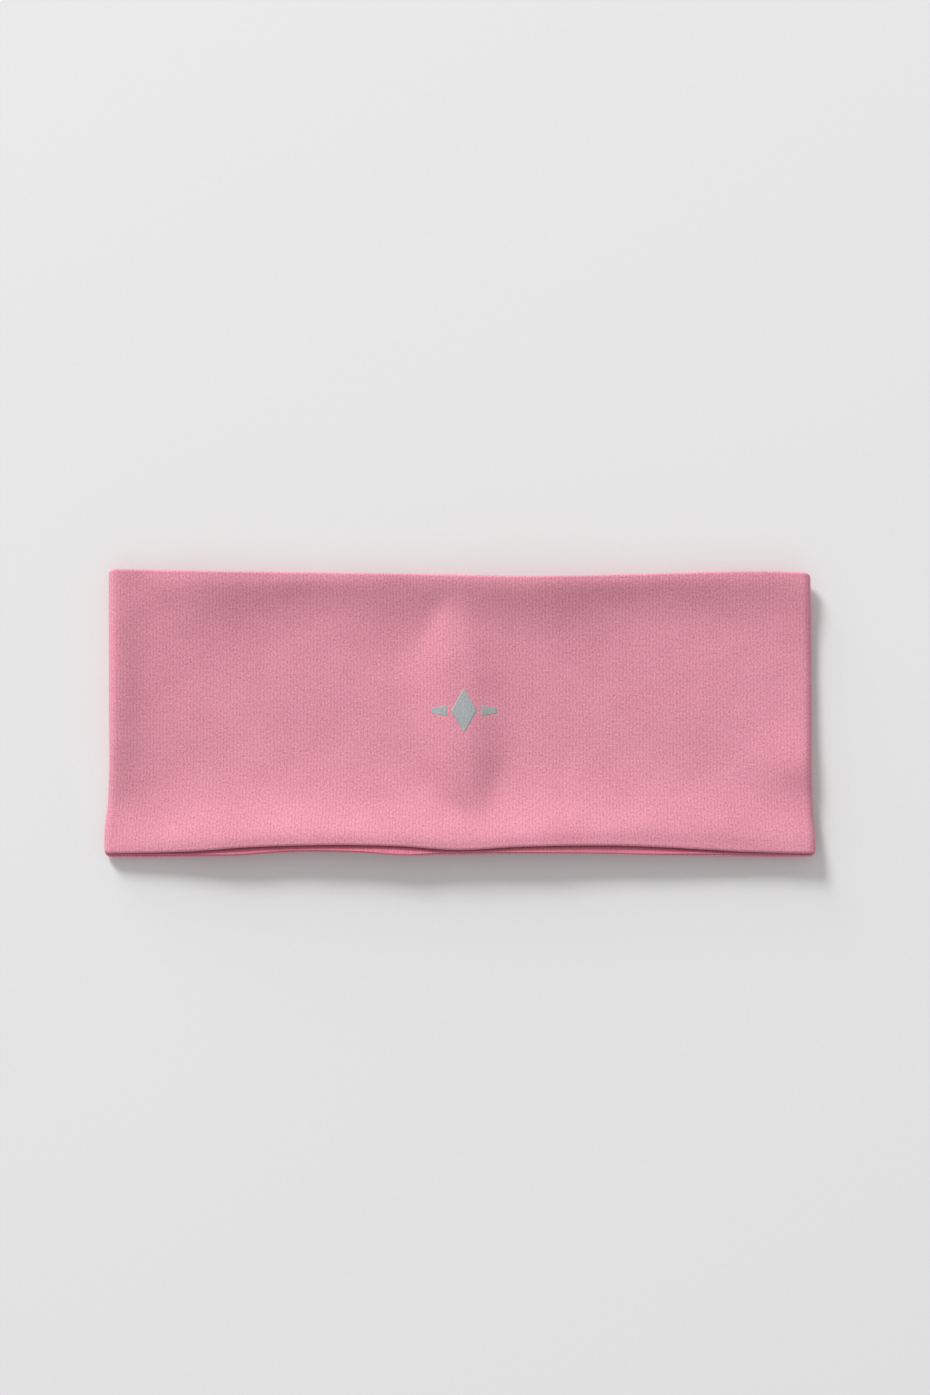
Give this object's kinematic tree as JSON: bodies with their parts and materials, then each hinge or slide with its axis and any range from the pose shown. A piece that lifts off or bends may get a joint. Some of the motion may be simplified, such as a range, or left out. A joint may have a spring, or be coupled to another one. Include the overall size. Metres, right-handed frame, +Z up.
{
  "type": "sports headband",
  "caption": "Wide two-ply stretch-knit sports headband lying flat, with turned edges, a back seam and a small film motif on the front.",
  "frame": {"origin": "middle of the footprint, on the surface the band lies on", "axes": "+X from side fold to side fold, +Y across the band away from the wearer's brow, +Z up out of the front wall"},
  "size_m": [0.234, 0.0944, 0.0089],
  "materials": {
    "shell_knit": "matte fine-wale knit with a soft sheen",
    "lining_knit": "matte fine-wale knit",
    "sewing_thread": "matte spun thread",
    "label_tape": "satin woven tape, blank",
    "transfer_film": "satin grey film"
  },
  "bodies": {
    "root": {"outer_shell": "shell_knit", "inner_lining": "lining_knit", "upper_edge_thread": "sewing_thread", "lower_edge_thread": "sewing_thread", "shell_back_seam_thread": "sewing_thread", "lining_back_seam_thread": "sewing_thread", "care_label": "label_tape", "care_label_thread": "sewing_thread", "transfer_diamond": "transfer_film", "transfer_left_dash": "transfer_film", "transfer_right_dash": "transfer_film"}
  },
  "joints": []
}
